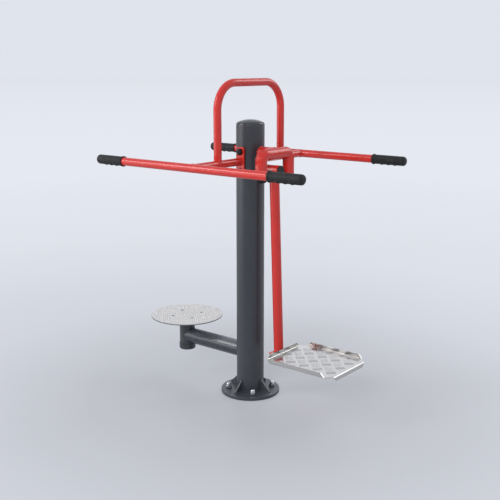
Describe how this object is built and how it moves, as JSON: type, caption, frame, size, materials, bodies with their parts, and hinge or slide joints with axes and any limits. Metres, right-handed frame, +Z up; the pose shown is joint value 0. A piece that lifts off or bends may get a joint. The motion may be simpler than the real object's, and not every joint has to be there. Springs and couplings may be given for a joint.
{
  "type": "outdoor twister and surfer",
  "caption": "Outdoor exercise post with handlebars and a hand hoop: a turning foot disc on one side and a foot platform that swings sideways on the other.",
  "frame": {"origin": "centre of the anchor bolt circle, on the post's axis at the underside of the base flange", "axes": "+Z up along the post, +X towards the swinging platform, -X towards the turning disc, +Y to the left"},
  "size_m": [1.2599, 0.903, 1.5949],
  "materials": {
    "anthracite_coat": "satin powder coat",
    "anthracite_plastic": "matte",
    "red_coat": "satin powder coat",
    "black_rubber": "matte",
    "black_plastic": "semi-matte",
    "zinc_steel": "zinc plated",
    "turned_steel": "turned",
    "disc_steel": "pickled stainless, fine pattern",
    "tread_aluminium": "five-bar tread plate"
  },
  "bodies": {
    "frame": {"base_flange": "anthracite_coat", "base_gussets": "anthracite_coat", "post_tube": "anthracite_coat", "twister_arm": "anthracite_coat", "twister_housing": "anthracite_coat", "post_cap": "anthracite_plastic", "housing_bottom_cap": "anthracite_plastic", "bracket_plate_left": "red_coat", "bracket_plate_right": "red_coat", "cross_tube_left": "red_coat", "cross_tube_right": "red_coat", "handlebar_left": "red_coat", "handlebar_right": "red_coat", "top_hoop": "red_coat", "limiter_stub": "red_coat", "limiter_yoke": "red_coat", "pivot_boss": "red_coat", "grip_left_front": "black_rubber", "grip_left_rear": "black_rubber", "grip_right_front": "black_rubber", "grip_right_rear": "black_rubber", "bracket_saddle_left": "black_rubber", "bracket_saddle_right": "black_rubber", "bolt_caps": "black_plastic", "yoke_plugs": "black_plastic", "anchor_washers": "black_plastic", "anchor_nuts": "zinc_steel", "bracket_bolts": "zinc_steel", "bracket_nuts": "zinc_steel", "bracket_washers": "zinc_steel", "axle_washer": "zinc_steel", "axle_bolt": "zinc_steel", "twister_bearing_outer_rings": "turned_steel", "pivot_axle": "turned_steel", "axle_spacer": "turned_steel", "pivot_bearing_inner_rings": "turned_steel"},
    "twister": {"twister_disc": "disc_steel", "twister_hub_plate": "zinc_steel", "twister_spindle": "turned_steel", "twister_bearing_inner_rings": "turned_steel", "twister_spacer": "turned_steel", "spindle_washer": "zinc_steel", "spindle_nut": "zinc_steel", "disc_screws": "zinc_steel"},
    "surfer": {"pivot_sleeve": "red_coat", "sleeve_cap": "black_plastic", "pivot_bearing_outer_rings": "turned_steel", "swing_pole": "red_coat", "platform_spine": "red_coat", "platform_bearers": "red_coat", "platform_tray": "tread_aluminium", "tray_screws": "zinc_steel", "tray_nuts": "zinc_steel"}
  },
  "joints": [
    {"name": "twister_turn", "type": "hinge", "parent": "frame", "child": "twister", "pos_m": [-0.443, 0, 0.25], "axis": [0, 0, 1], "continuous": true},
    {"name": "surfer_swing", "type": "hinge", "parent": "frame", "child": "surfer", "pos_m": [0.148, 0, 1.157], "axis": [1, 0, 0], "range_deg": [-47, 47]}
  ]
}
